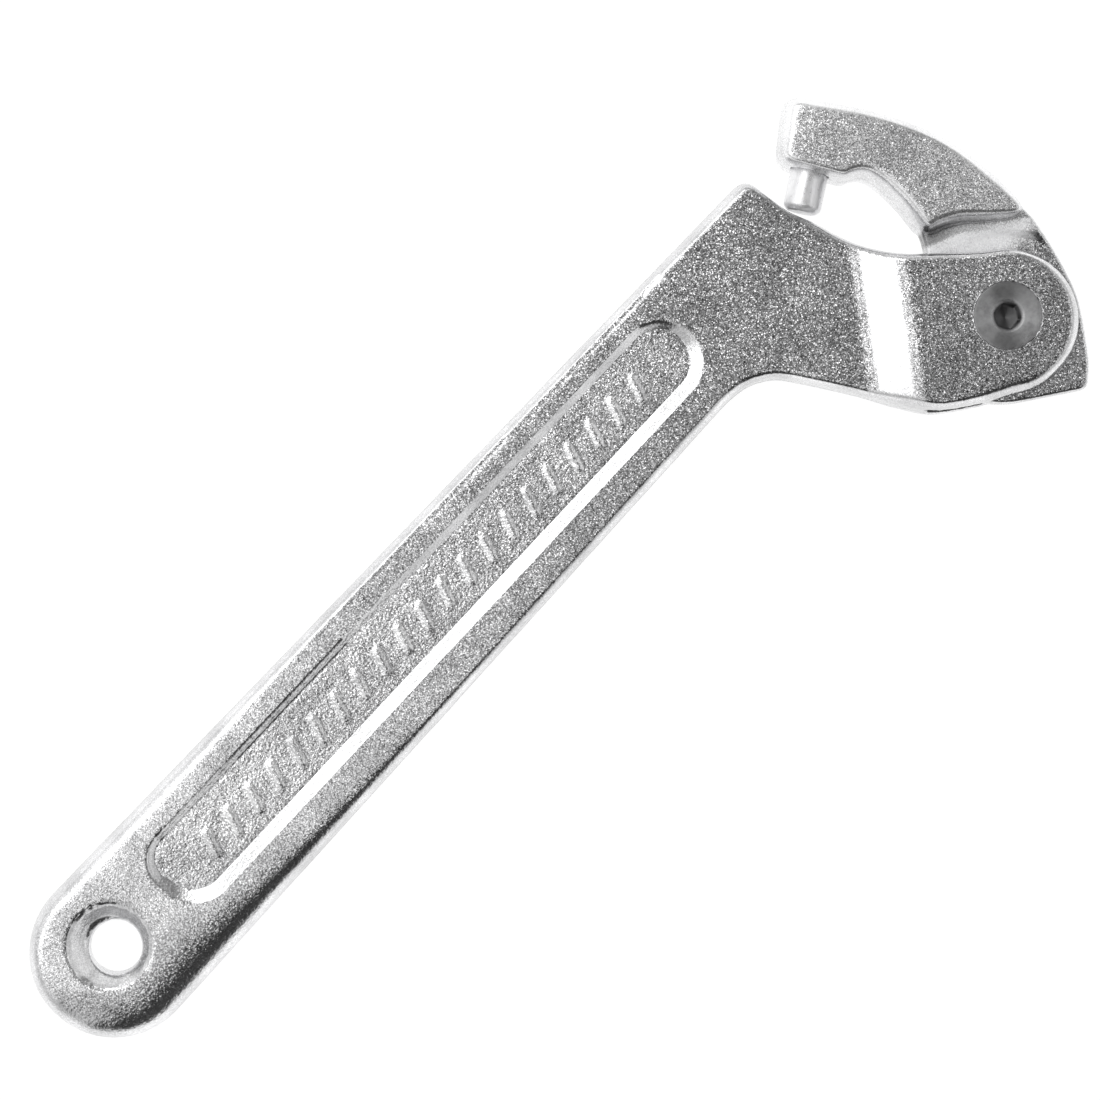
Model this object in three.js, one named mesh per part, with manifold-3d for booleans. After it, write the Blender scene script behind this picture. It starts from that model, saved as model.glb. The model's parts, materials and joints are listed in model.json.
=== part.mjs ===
// Adjustable pin spanner: forged handle with a forked head, one hooked jaw, a pressed pin and
// the countersunk screw that the jaw swings on. Millimetres, +Z up, the tool lying on its back.
//
// Plan coordinates start at the pivot: +X runs along the handle towards the head, and +Y towards
// the side that the jaw's mouth opens from. The last lines move the whole tool so that the
// origin is under the middle of its box.

import * as THREE from 'three';
import { mergeVertices } from 'three/addons/utils/BufferGeometryUtils.js';
import Module from 'manifold-3d';

// ---------------------------------------------------------------- driving dimensions

const MID_Z = 7;                       // height of the forging's parting line above the back
const HANDLE_HALF = 4;                 // half the thickness of the handle
const HEAD_HALF = 7;                   // half the thickness across both ears
const ARM_HALF = 6;                    // half the thickness of the jaw's arm
const RIM = 2.1;                       // width of the rounded and drafted edge, seen from above

const TAIL = { x: -179.7, y: 36.1, r: 14.25 };
const EAR = { x: -0.45, y: -0.7, r: 12.5 };
const HEEL = { x: -42, y: 24.1 };      // where the handle's lower edge turns down into the neck
const NOSE = { x: -12.1, y: 47.75 };   // corner between the upper edge and the cradle
const NOSE_R = 3;

const NECK_ANGLE = 141.3;              // direction from the pivot to the neck, in degrees
const NECK_PROFILE = [                 // [distance from the pivot along the neck, half thickness]
  [13.5, HEAD_HALF], [15.5, 6.85], [17.5, 6.35], [21.5, 4.8], [23.5, 4.25], [26.5, HANDLE_HALF],
];

const SLOT_HALF = 3;                   // half the width of the slot between the ears
const SLOT_END = 14.8;                 // distance from the pivot to the slot's end wall
const TAB_GAP = 0.3;                   // clearance on each face of the jaw's tab
const TAB_R = 14.4;                    // round back of the tab, about the pivot
const STOP_ANGLE = 236;                // where the tab's round back runs into the flat of its lug

const RECESS = { x0: -165.5, x1: -37.7, y0: 29.6, y1: 43.7, depth: 1, wall: 1.3 };
const RECESS_TAIL = { upperR: 5.5, lowerR: 7, lift: 0.55 };   // corners at the recess's tail end

const HANG = { x: -178.5, y: 36.6, r: 4.5, dishX: -178.6, dishY: 37.4, dishR: 7.2, dishDepth: 2.6 };

const SCREW = { headR: 5.65, shankR: 3, length: 12, rim: 0.35, edge: 0.1, sunk: 0.15, chamfer: 0.6 };
const SOCKET = { acrossFlats: 4, depth: 2.6, mouthR: 2.75, mouthDepth: 0.45, mouthFootR: 2.06 };
const SEAT = { edge: 0.6, flare: 0.5 };  // chamfer round the mouth of the screw's seat
const FIT = 0.3;                       // radial gap round the screw
const PRESS_GAP = 0.12;                // radial gap round the pressed pin

const PIN = { x: -9.95, y: 36.83, r: 3.2, length: 13, chamfer: 0.8, angle: 211 };

const ROUND = 48;                      // sides of a bore or a turned piece
const PAST = 1;                        // how far a cutter stands out past the face that it cuts
const MITRE = 0.6;                     // sharpest corner, as a cosine, that an inset follows in full
const CLOSE = 0.05;                    // outline points nearer than this are dropped
const MERGE = 0.004;                   // points closer than this are one point
const SNAP = 0.02;                     // a point this near a cut counts as lying on it

// ---------------------------------------------------------------- solids

const wasm = await Module();
wasm.setup();

function toSolid(geometry) {
  const bare = geometry.index ? geometry.toNonIndexed() : geometry.clone();
  bare.deleteAttribute('normal');
  bare.deleteAttribute('uv');
  const merged = mergeVertices(bare, MERGE);
  const corners = merged.index.array;
  const kept = [];
  for (let i = 0; i < corners.length; i += 3) {
    const [a, b, c] = [corners[i], corners[i + 1], corners[i + 2]];
    if (a !== b && b !== c && c !== a) {
      kept.push(a, b, c);
    }
  }
  return new wasm.Manifold(new wasm.Mesh({
    numProp: 3,
    vertProperties: new Float32Array(merged.attributes.position.array),
    triVerts: new Uint32Array(kept),
  }));
}

function toGeometry(solid) {
  const mesh = solid.getMesh();
  const geometry = new THREE.BufferGeometry();
  geometry.setAttribute('position', new THREE.BufferAttribute(mesh.vertProperties, 3));
  geometry.setIndex(new THREE.BufferAttribute(mesh.triVerts, 1));
  geometry.computeVertexNormals();
  return geometry;
}

function trianglesToGeometry(triangles) {
  const numbers = triangles.flat().flatMap((p) => [p.x, p.y, p.z]);
  const geometry = new THREE.BufferGeometry();
  geometry.setAttribute('position', new THREE.Float32BufferAttribute(numbers, 3));
  return geometry;
}

// ---------------------------------------------------------------- outlines
// An outline point is a Vector3: x and y in plan, and in z the share of the rim that the edge has
// there. Outlines run anticlockwise, with the material on their left.

const at = (x, y, rim = 1) => new THREE.Vector3(x, y, rim);
const radians = (degrees) => THREE.MathUtils.degToRad(degrees);

function arc(x, y, r, from, to, steps, rimFrom = 1, rimTo = rimFrom) {
  const points = [];
  for (let i = 0; i <= steps; i += 1) {
    const share = i / steps;
    const a = radians(from + (to - from) * share);
    const rim = rimFrom + (rimTo - rimFrom) * share;
    points.push(at(x + r * Math.cos(a), y + r * Math.sin(a), rim));
  }
  return points;
}

function smooth(points, spacing) {
  const curve = new THREE.CatmullRomCurve3(points, false, 'centripetal');
  return curve.getSpacedPoints(Math.ceil(curve.getLength() / spacing));
}

function corner(before, tip, after, steps) {
  return new THREE.QuadraticBezierCurve3(before, tip, after).getPoints(steps);
}

function cleaned(points) {
  return points.filter((p, i) => {
    const last = points[(i + points.length - 1) % points.length];
    return Math.hypot(p.x - last.x, p.y - last.y) > CLOSE;
  });
}

function inwardNormal(points, i) {
  const last = points[(i + points.length - 1) % points.length];
  const next = points[(i + 1) % points.length];
  const here = points[i];
  const a = new THREE.Vector2(here.x - last.x, here.y - last.y).normalize();
  const b = new THREE.Vector2(next.x - here.x, next.y - here.y).normalize();
  const sum = a.clone().add(b).normalize();
  const stretch = 1 / Math.max(MITRE, sum.dot(a));
  return new THREE.Vector2(-sum.y * stretch, sum.x * stretch);
}

// Closed solid through copies of an outline: each level is [height, inset].
function loft(outline, levels) {
  const normals = outline.map((p, i) => inwardNormal(outline, i));
  const rings = levels.map(([z, inset]) => outline.map((p, i) => new THREE.Vector3(
    p.x + normals[i].x * inset * p.z,
    p.y + normals[i].y * inset * p.z,
    z,
  )));
  const triangles = [];
  const count = outline.length;
  for (let level = 0; level < rings.length - 1; level += 1) {
    for (let i = 0; i < count; i += 1) {
      const j = (i + 1) % count;
      const [a, b] = [rings[level][i], rings[level][j]];
      const [c, d] = [rings[level + 1][j], rings[level + 1][i]];
      triangles.push([a, b, c], [a, c, d]);
    }
  }
  const cap = (ring) => THREE.ShapeUtils
    .triangulateShape(ring.map((p) => new THREE.Vector2(p.x, p.y)), [])
    .map(([a, b, c]) => [ring[a], ring[b], ring[c]]);
  cap(rings[0]).forEach(([a, b, c]) => triangles.push([a, c, b]));
  cap(rings[rings.length - 1]).forEach((triangle) => triangles.push(triangle));
  return triangles;
}

// Edge of a forging, from the back face (-1) through the parting line (0) to the front face (1):
// nearly straight behind the parting line, drafted and then rounded in front of it.
const EDGE = [
  [-1, 0.9], [-0.93, 0.42], [-0.8, 0.12], [-0.45, 0], [0, 0],
  [0.45, 0.26], [0.72, 0.62], [0.88, 1.08], [0.96, 1.55], [1, RIM],
];

const edgeLevels = (half) => EDGE.map(([share, inset]) => [share * half, inset]);

// ---------------------------------------------------------------- cutting across a direction

const neckX = Math.cos(radians(NECK_ANGLE));
const neckY = Math.sin(radians(NECK_ANGLE));
const alongNeck = (p) => p.x * neckX + p.y * neckY;

function crossing(a, b, cut) {
  const inOrder = a.x < b.x || (a.x === b.x && (a.y < b.y || (a.y === b.y && a.z < b.z)));
  const [p, q] = inOrder ? [a, b] : [b, a];
  const share = (cut - alongNeck(p)) / (alongNeck(q) - alongNeck(p));
  return new THREE.Vector3().lerpVectors(p, q, share);
}

function keepSide(triangle, cut, sign) {
  const kept = [];
  for (let i = 0; i < 3; i += 1) {
    const a = triangle[i];
    const b = triangle[(i + 1) % 3];
    const da = sign * (alongNeck(a) - cut);
    const db = sign * (alongNeck(b) - cut);
    if (da >= -SNAP) {
      kept.push(a);
    }
    if ((da > SNAP && db < -SNAP) || (da < -SNAP && db > SNAP)) {
      kept.push(crossing(a, b, cut));
    }
  }
  return kept;
}

function splitAt(triangles, cut) {
  const pieces = [];
  for (const triangle of triangles) {
    const sides = triangle.map((p) => alongNeck(p) - cut);
    if (Math.min(...sides) > -SNAP || Math.max(...sides) < SNAP) {
      pieces.push(triangle);
    } else {
      for (const sign of [1, -1]) {
        const polygon = keepSide(triangle, cut, sign);
        for (let i = 2; i < polygon.length; i += 1) {
          pieces.push([polygon[0], polygon[i - 1], polygon[i]]);
        }
      }
    }
  }
  return pieces;
}

function halfThickness(station) {
  const next = NECK_PROFILE.findIndex(([s]) => s > station);
  if (next === 0) {
    return HEAD_HALF;
  }
  if (next === -1) {
    return HANDLE_HALF;
  }
  const [s0, t0] = NECK_PROFILE[next - 1];
  const [s1, t1] = NECK_PROFILE[next];
  return t0 + ((t1 - t0) * (station - s0)) / (s1 - s0);
}

// ---------------------------------------------------------------- simple cutters

function cylinder(x, y, z0, z1, r0, r1 = r0, sides = ROUND) {
  const geometry = new THREE.CylinderGeometry(r1, r0, z1 - z0, sides);
  geometry.rotateX(Math.PI / 2);
  geometry.translate(x, y, (z0 + z1) / 2);
  return toSolid(geometry);
}

function slotCutter() {
  const reach = 60;                    // well past the head on every side
  const geometry = new THREE.BoxGeometry(reach, reach, 2 * SLOT_HALF);
  geometry.translate(SLOT_END - reach / 2, 0, MID_Z);
  geometry.rotateZ(radians(NECK_ANGLE));
  return toSolid(geometry);
}

// ---------------------------------------------------------------- handle

function handleOutline() {
  const tail = arc(TAIL.x, TAIL.y, TAIL.r, 91, 269, 30);
  const neck = smooth([
    at(HEEL.x, HEEL.y, 0.9), at(-37.8, 23.5, 0.75), at(-33.6, 21, 0.65), at(-31, 17.3, 0.65),
    at(-28.3, 12.8, 0.65), at(-25.9, 8.6, 0.7), at(-23.8, 4.4, 0.85), at(-21.7, 0.8),
    at(-19.6, -2.4), at(-16.7, -4.9), at(-12.6, -7.8),
  ], 2);
  const earUnder = arc(EAR.x, EAR.y, EAR.r, 231, 300, 12, 1.1);
  const earEnd = arc(EAR.x, EAR.y, EAR.r, 306, 408, 18, 1.1, 0.6);
  const cradle = smooth([
    at(4.9, 11, 0.55), at(0.5, 15.5, 0.6), at(-4.05, 20.25, 0.65), at(-7, 25.15, 0.65),
    at(-8.8, 29.9, 0.65), at(-9.85, 34.3, 0.6), at(-11.5, 38.5, 0.35), at(-11.9, 42, 0.35),
  ], 2);
  const nose = corner(
    at(NOSE.x, NOSE.y - NOSE_R, 0.6), at(NOSE.x, NOSE.y, 0.8), at(NOSE.x - NOSE_R, NOSE.y), 8,
  );
  return cleaned([...tail, ...neck, ...earUnder, ...earEnd, ...cradle, ...nose]);
}

function handleBlank() {
  let triangles = loft(handleOutline(), edgeLevels(1));
  for (const [station] of NECK_PROFILE) {
    triangles = splitAt(triangles, station);
  }
  const raised = triangles.map((triangle) => triangle.map((p) => (
    new THREE.Vector3(p.x, p.y, MID_Z + p.z * halfThickness(alongNeck(p)))
  )));
  return toSolid(trianglesToGeometry(raised));
}

function recessCutter(side) {
  const { x0, x1, y0, y1, depth, wall } = RECESS;
  const { upperR, lowerR, lift } = RECESS_TAIL;
  const headR = (y1 - y0) / 2;
  const outline = cleaned([
    ...arc(x0 + upperR, y1 - upperR + lift, upperR, 90, 180, 8),
    ...arc(x0 + lowerR, y0 + lowerR, lowerR, 180, 270, 10),
    ...arc(x1 - headR, (y0 + y1) / 2, headR, -90, 90, 20),
  ]);
  const surface = side * HANDLE_HALF;
  const levels = [[surface - side * depth, wall], [surface + side * depth, -wall]];
  const cutter = loft(outline, side > 0 ? levels : levels.reverse());
  const geometry = trianglesToGeometry(cutter);
  geometry.translate(0, 0, MID_Z);
  return toSolid(geometry);
}

function hangingHole() {
  const { x, y, r, dishX, dishY, dishR, dishDepth } = HANG;
  const slope = (PAST * (dishR - r)) / dishDepth;
  const front = MID_Z + HANDLE_HALF;
  const back = MID_Z - HANDLE_HALF;
  return cylinder(x, y, back - PAST, front + PAST, r)
    .add(cylinder(dishX, dishY, front - dishDepth, front + PAST, r, dishR + slope))
    .add(cylinder(dishX, dishY, back - PAST, back + dishDepth, dishR + slope, r));
}

function screwSeat() {
  const front = MID_Z + HEAD_HALF;
  const coneFoot = front - SCREW.sunk - SCREW.rim - (SCREW.headR - SCREW.shankR);
  const lipR = SCREW.headR + FIT;
  const boreR = SCREW.shankR + FIT;
  return cylinder(0, 0, -PAST, front + PAST, boreR)
    .add(cylinder(0, 0, coneFoot, coneFoot + lipR - boreR, boreR, lipR))
    .add(cylinder(0, 0, front - SEAT.edge, front + PAST, lipR, lipR + SEAT.flare));
}

function makeHandle() {
  return handleBlank()
    .subtract(slotCutter())
    .subtract(screwSeat())
    .subtract(hangingHole())
    .subtract(recessCutter(1))
    .subtract(recessCutter(-1));
}

// ---------------------------------------------------------------- jaw

const pinX = Math.cos(radians(PIN.angle));
const pinY = Math.sin(radians(PIN.angle));

function armOutline() {
  const outer = smooth([
    at(16.4, 13.9, 0.9), at(16.5, 16.5), at(16.4, 20), at(15.9, 24.8), at(14.7, 29.9),
    at(12.75, 35), at(10.3, 40), at(7.2, 45), at(4.7, 48.7),
  ], 2);
  const top = corner(at(3.9, 49.9, 0.95), at(2.2, 52.2, 0.85), at(-0.2, 50.5, 0.95), 8);
  const tip = corner(at(-4.6, 47.3, 0.9), at(-7.3, 45.4, 0.6), at(-5.9, 43, 0.6), 7);
  const inner = smooth([
    at(-2.6, 36.8, 0.6), at(-1.6, 35.1, 0.65), at(-0.1, 34.4, 0.7), at(1.1, 33.3, 0.8),
    at(1.7, 31.4, 0.85), at(1.85, 28.5, 0.9), at(1.75, 25.2, 0.9), at(1.35, 22.4, 0.8),
  ], 1.2);
  const heel = corner(at(1.15, 21.2, 0.8), at(0.8, 18.4, 0.6), at(3.3, 17.9, 0.8), 6);
  const step = smooth([
    at(4.1, 17.45, 0.9), at(6.2, 16), at(9.3, 13, 0.95), at(11.8, 10.8, 0.85),
  ], 1.5);
  const shoulder = corner(at(12.3, 10.45, 0.8), at(15.9, 7.9, 0.45), at(16.3, 13, 0.8), 8);
  return cleaned([...outer, ...top, ...tip, ...inner, ...heel, ...step, ...shoulder]);
}

function tabOutline() {
  const outer = smooth([
    at(1.6, -17.9), at(4, -16), at(6.4, -13.2), at(9.1, -9.6), at(11.3, -6.1), at(13.2, -1.4),
    at(14.8, 4.2), at(15.6, 9.2), at(15.7, 14),
  ], 2);
  const hidden = [at(15, 19), at(5, 23)];
  const inner = smooth([
    at(2.2, 22.6), at(1, 20), at(0.1, 18.1), at(-1.4, 16.3), at(-3.4, 14.7), at(-5.4, 13.35),
  ], 1.5);
  const back = arc(0, 0, TAB_R, 112, STOP_ANGLE, 26);
  const lug = corner(at(-0.2, -17.6), at(0.75, -18.3), at(1.6, -17.9), 4);
  return cleaned([...outer, ...hidden, ...inner, ...back, ...lug]);
}

function jawArm() {
  const geometry = trianglesToGeometry(loft(armOutline(), edgeLevels(ARM_HALF)));
  geometry.translate(0, 0, MID_Z);
  return toSolid(geometry);
}

function jawTab() {
  const half = SLOT_HALF - TAB_GAP;
  const edge = 0.4;
  const levels = [[-half, edge], [-half + edge, 0], [half - edge, 0], [half, edge]];
  const geometry = trianglesToGeometry(loft(tabOutline(), levels));
  geometry.translate(0, 0, MID_Z);
  return toSolid(geometry);
}

function alongPin(solidGeometry) {
  solidGeometry.rotateZ(radians(PIN.angle));
  solidGeometry.translate(PIN.x, PIN.y, MID_Z);
  return solidGeometry;
}

function pinHole() {
  const geometry = new THREE.CylinderGeometry(
    PIN.r + PRESS_GAP, PIN.r + PRESS_GAP, PIN.length + 2 * PRESS_GAP, ROUND,
  );
  geometry.rotateZ(Math.PI / 2);
  geometry.translate(-PIN.length / 2, 0, 0);
  return toSolid(alongPin(geometry));
}

function makeJaw() {
  return jawArm()
    .add(jawTab())
    .subtract(cylinder(0, 0, 0, 2 * MID_Z, SCREW.shankR + FIT))
    .subtract(pinHole());
}

// ---------------------------------------------------------------- pin and screw

function makePin() {
  const { r, length, chamfer } = PIN;
  const profile = [
    [0, -length], [r - chamfer, -length], [r, -length + chamfer],
    [r, -chamfer], [r - chamfer, 0], [0, 0],
  ].map(([radius, along]) => new THREE.Vector2(radius, along));
  const geometry = new THREE.LatheGeometry(profile, ROUND);
  geometry.rotateZ(-Math.PI / 2);
  return toSolid(alongPin(geometry));
}

function makeScrew() {
  const { headR, shankR, length, rim, edge, sunk, chamfer } = SCREW;
  const top = MID_Z + HEAD_HALF - sunk;
  const profile = [
    [0, top - length], [shankR - chamfer, top - length], [shankR, top - length + chamfer],
    [shankR, top - rim - (headR - shankR)], [headR, top - rim], [headR, top - edge],
    [headR - edge, top], [0, top],
  ].map(([radius, z]) => new THREE.Vector2(radius, z));
  const geometry = new THREE.LatheGeometry(profile, ROUND);
  geometry.rotateX(Math.PI / 2);
  const { acrossFlats, depth, mouthR, mouthDepth, mouthFootR } = SOCKET;
  const cornerR = acrossFlats / Math.sqrt(3);
  const mouth = cylinder(
    0, 0, top - mouthDepth, top + mouthDepth, mouthFootR, 2 * mouthR - mouthFootR,
  );
  return toSolid(geometry)
    .subtract(cylinder(0, 0, top - depth, top + PAST, cornerR, cornerR, 6))
    .subtract(mouth);
}

// ---------------------------------------------------------------- the tool

const CHROME = { color: 0xc8cacc, roughness: 0.28, metalness: 1 };
const BRIGHT_PIN = { color: 0xd4d6d8, roughness: 0.15, metalness: 1 };
const BLACK_OXIDE = { color: 0x3c3c3e, roughness: 0.42, metalness: 0.9 };

function piece(name, solid, look) {
  const mesh = new THREE.Mesh(toGeometry(solid), new THREE.MeshStandardMaterial(look));
  mesh.name = name;
  return mesh;
}

const tool = new THREE.Group();
tool.add(piece('handle', makeHandle(), CHROME));
tool.add(piece('hook_jaw', makeJaw(), CHROME));
tool.add(piece('pin', makePin(), BRIGHT_PIN));
tool.add(piece('pivot_screw', makeScrew(), BLACK_OXIDE));

const box = new THREE.Box3().setFromObject(tool);
const middle = box.getCenter(new THREE.Vector3());
tool.position.set(-middle.x, -middle.y, -box.min.z);

export default tool;
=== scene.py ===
"""Looks for the adjustable pin spanner, in Blender 4.5.

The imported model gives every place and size. Here the two forgings get a fine, softened and grained
surface, the pin and the screw are turned at full smoothness, and all four get procedural materials.
A white floor, a room, a lamp and a camera stand round them. Shapes are worked out in millimetres from
the pivot axis, with z measured up from the floor, and are stored in metres.
"""

import json
import math

import bmesh
import bpy
import numpy as np
from mathutils import Matrix, Vector, noise


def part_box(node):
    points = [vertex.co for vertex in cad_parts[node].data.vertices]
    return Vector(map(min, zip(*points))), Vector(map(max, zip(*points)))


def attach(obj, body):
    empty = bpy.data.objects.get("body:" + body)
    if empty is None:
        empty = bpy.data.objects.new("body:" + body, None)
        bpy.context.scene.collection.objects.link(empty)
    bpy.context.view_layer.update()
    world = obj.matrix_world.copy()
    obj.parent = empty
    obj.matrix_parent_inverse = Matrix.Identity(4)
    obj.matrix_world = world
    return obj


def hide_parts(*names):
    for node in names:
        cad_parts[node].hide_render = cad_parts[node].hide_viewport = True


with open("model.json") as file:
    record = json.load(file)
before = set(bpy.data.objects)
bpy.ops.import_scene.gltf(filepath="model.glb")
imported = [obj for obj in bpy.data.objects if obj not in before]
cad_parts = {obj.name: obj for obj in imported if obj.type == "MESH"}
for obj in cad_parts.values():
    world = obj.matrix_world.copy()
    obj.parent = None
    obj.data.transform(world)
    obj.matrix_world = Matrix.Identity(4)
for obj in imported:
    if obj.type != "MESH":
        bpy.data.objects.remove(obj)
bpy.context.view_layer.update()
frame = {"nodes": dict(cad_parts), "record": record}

MM = 0.001
PIVOT = Vector(frame["record"]["behaviour"]["joints"][0]["pos_m"]) / MM
PIVOT.z = 0

# The handle. Both faces mirror each other about its middle plane. A point further than NEAR_FACE from
# that plane counts as near a face, and one within SLOT_R of the pivot may be in the slot.
MID_Z = 7
HEAD_FACE_Z, GRIP_FACE_Z, NEAR_FACE = 14, 11, 3.4
TAIL_X, TAIL_R = -179.7, 14.25
GRIP_MID_Y, GRIP_END_X, GRIP_END_R = 36.3, -50, 13.2
SLOT_R = 16

# How rims are drawn: (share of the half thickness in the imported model, share drawn). The grip's kind
# begins at GRIP_START_X. Within SOFT_TAIL_X and SOFT_HEAD_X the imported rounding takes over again.
GRIP_RIM = ((0, 0), (0.3, 0.5), (0.45, 0.72), (0.72, 0.84), (0.88, 0.95), (0.94, 1), (1, 1))
HEAD_RIM = ((0, 0), (0.6, 0.6), (0.72, 0.79), (0.88, 0.94), (0.95, 0.995), (1, 1))
GRIP_START_X, GRIP_BLEND, RIM_WIDTH = -34, 12, 2.6
SOFT_TAIL_X, SOFT_HEAD_X = (-120, -175), (-17, -8)

# The neck's slope: (distance from the pivot along NECK_ANGLE, half thickness), as packed and as drawn.
NECK_ANGLE = 141.3
NECK_PACKED = ((13.5, 7), (15.5, 6.85), (17.5, 6.35), (21.5, 4.8), (23.5, 4.25), (26.5, 4))
NECK_DRAWN = ((15.4, 7), (17.1, 6.65), (22.6, 4.35), (24.3, 4))

# The recess of the grip. Its wall is wider on the lower side than on the upper one, which narrows
# towards the tail. Its lips are shaded sharp on the lower side and from CRISP_X to the head.
RECESS_X, RECESS_Y, RECESS_DEPTH = (-165.5, -37.7), (29.6, 43.7), 1.0
RECESS_TAIL_UPPER_R, RECESS_TAIL_LOWER_R, RECESS_TAIL_LIFT = 5.5, 7, 0.55
LOWER_WALL, UPPER_WALLS = 2.25, ((-165, -115, -85, -40), (1.0, 1.0, 1.2, 1.2))
WALL_CHANGE_Y = (RECESS_Y[0] + 3, RECESS_Y[1] - 1.5)
CRISP_X, CRISP_Y = -115, RECESS_Y[0] + 4
RECESS_MARGIN, RECESS_NEAR_FACE, LIP_SNAP = 2.5, 2.4, 0.24
FLOOR_START = (0.1, 0.7)

# The raised bars stand in a row along the recess. BAR_EDGE is where a bar's side starts to fall and ends.
BAR_PITCH, BAR_HALF_LENGTH, BAR_HALF_WIDTH, BAR_SLANT = 5.2, 2.4, 0.5, 0.35
BAR_EDGE, BAR_END_GAP, BAR_HEIGHT = (0.3, 0.75), 11, 0.4

# The tail's rounding: how far in it reaches and how far it falls, and what the lower side and its end add.
TAIL_FROM_X, LOWER_FROM_Y, TAIL_END_X = (-95, -165), (4, -4), (-140, -174)
TAIL_WIDTH, TAIL_ADDED_WIDTH, TAIL_END_WIDTH = 3.4, 1, 4.5
TAIL_DROP, TAIL_LOWER_DROP, TAIL_END_DROP = 0.7, 0.6, 0.6
TAIL_SMOOTH_X, TAIL_SMOOTH_WIDTH, TAIL_SMOOTH_ROUNDS = (-105, -150), 5.5, 10

# The dish round the hanging hole, and the screw's seat.
DISH, DISH_R, DISH_SNAP, DISH_MARGIN, DISH_INSET, DISH_POLISH = (-178.6, 37.4), 7.2, 0.26, 0.6, 0.1, 0.8
SEAT_R, SEAT_REACH, SEAT_PULL, SEAT_LIP_DEPTH = 5.75, 8.5, 1.35, 1
SEAT_MOUTH = (SEAT_R - 0.7, SEAT_R + 1)

# The jaw: its arm follows a ring about ARM_CENTRE, and a step falls from its face to the tab along
# STEP_LINE. The tab rises a little from the ear's edge towards the step.
ARM_CENTRE, ARM_MID_R, ARM_HALF, ARM_FACE = (-43, 12), 53.6, 6, (0.45, 0.85)
ARM_CROWN, ARM_CROWN_REACH, ARM_CROWN_Y = 0.006, 8, (14, 20)
STEP_LINE = ((0.8, 18.4), (6.2, 16), (9.3, 13), (11.8, 10.8), (15.9, 7.9))
STEP_ENDS_X, STEP_WIDTHS, STEP_DROP, STEP_BLEND = (1, 15), (4.2, 1.2), 0.8, 0.6
SHADOW_REACH, SHADOW_X, SHADOW_SHARES = (1.8, 0.9), (2, 12), (1, 0.3)
BLOCK_END, BLOCK_END_WIDTH, BLOCK_END_DROP = ((2.2, 52.2), (-7.3, 45.4)), 6, 0.55
TAB_HALF, TAB_MARGIN, EAR_EDGE_R = 2.7, 0.4, (13.4, 15.2)
WEB_SLOPE, WEB_TOP_Y, WEB_SPAN, WEB_FADE_Y = 0.13, 16, (-3, 8), (2, 7)
# The jaw's dullness on the arm and on the tab, and where it starts by y. It also brightens the colour as
# painted light.
ARM_SATIN_AND_LIGHT, TAB_SATIN_AND_LIGHT, SATIN_AND_LIGHT_FROM_Y = 0.7, 2.0, (4, 9)

# How fine the forgings' surfaces are, and how much and how often they are smoothed.
HANDLE_VOXEL, JAW_VOXEL = 0.46, 0.32
HOLE_SMOOTHING, SEAT_SMOOTHING, HANDLE_SMOOTHING, JAW_SMOOTHING = 0.1, 0.2, 0.45, 0.5
LIP_SMOOTHING, TAIL_SMOOTHING, SMOOTH_ROUNDS = 0.12, 0.5, 5
WELD, TINY = 0.001, 1e-9

# Their unevenness, as layers of (height, size, seed), and the ridge where the dies met. SIDEWAYS is how
# fast the ridge fades as a surface turns from the side to the face.
HANDLE_LUMPS = ((0.02, 5, 1), (0.012, 1.6, 2))
RECESS_LUMPS = ((0.05, 1.1, 3), (0.05, 3.1, 6))
JAW_LUMPS = ((0.02, 4, 4), (0.01, 1.4, 5))
SEED_SHIFT = (13.7, 5.3, 9.1)
RIDGE_HEIGHT, RIDGE_HALF_WIDTH, SIDEWAYS = 0.13, 0.5, 1.5

# The turned pieces. DISH_RINGS are (radius, share of the head's dish).
PIN_R, PIN_LENGTH, PIN_CHAMFER, PIN_ANGLE = 3.2, 13, 0.8, 211
PIN_ROUND, PIN_TIP_ROUND = 0.3, 0.21
HEAD_R, SHANK_R, SCREW_LENGTH, SCREW_CHAMFER = 5.75, 3.0, 12, 0.6
HEAD_ROUND, SHANK_ROUND, MOUTH_ROUND = 0.3, 0.6, (0.12, 0.07, 0.15)
HEAD_DISH, DISH_RINGS = 0.22, ((3.6, 0.7), (4.6, 0.3))
SOCKET_FLAT, SOCKET_DEPTH, SOCKET_MOUTH, SOCKET_LIP_SLOPE = 2.0, 2.6, 2.75, 0.6
SOCKET_POINT_R, SOCKET_POINT_DEPTH = 1.7, 0.9
WORN_WIDTH, WORN_DEPTH = 0.2, 0.5
NEAR_AXIS = 0.02
TURNED_STEPS = 96

# The chrome's look. Sizes and heights are in millimetres. FACET_TILT, COARSE_HEIGHT and FLAT_PEPPER run
# from the head to the grip. NOISE_RANGE and FINE_NOISE (detail, roughness) hold for all materials.
NOISE_RANGE, FINE_NOISE = (0.3, 0.7), (3, 0.6)
GRIP_FROM_X = (0.06, -0.05)
FLAT_FROM, STEEP_GRAIN, MACHINED_GRAIN = (0.93, 0.992), 0.2, 0.15
FACET_SIZE, FACET_TILT, RECESS_TILT = 0.16, (1.4, 0.68), 1.3
COARSE_SIZE, COARSE_HEIGHT, RECESS_HEIGHT = 0.5, (0.03, 0.06), 0.1
WAVE_SIZE, WAVE_HEIGHT = 7, 0.12
STEEP_PEPPER, FLAT_PEPPER, SATIN_PEPPER, PEPPER_FROM = 0.8, (0.2, 0.36), 0.6, 0.25
CLOUD_SIZE, CLOUD_RANGE = 9, (0.35, 0.65, 0.82, 1.1)
# Steep sides are painted darker, as shade.
PAINTED_EDGE_SHADE = (0.2, 0.5, 0.86, 1)
RECESS_LIFT, SHADOW_LEVEL = 1.12, 0.3
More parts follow.
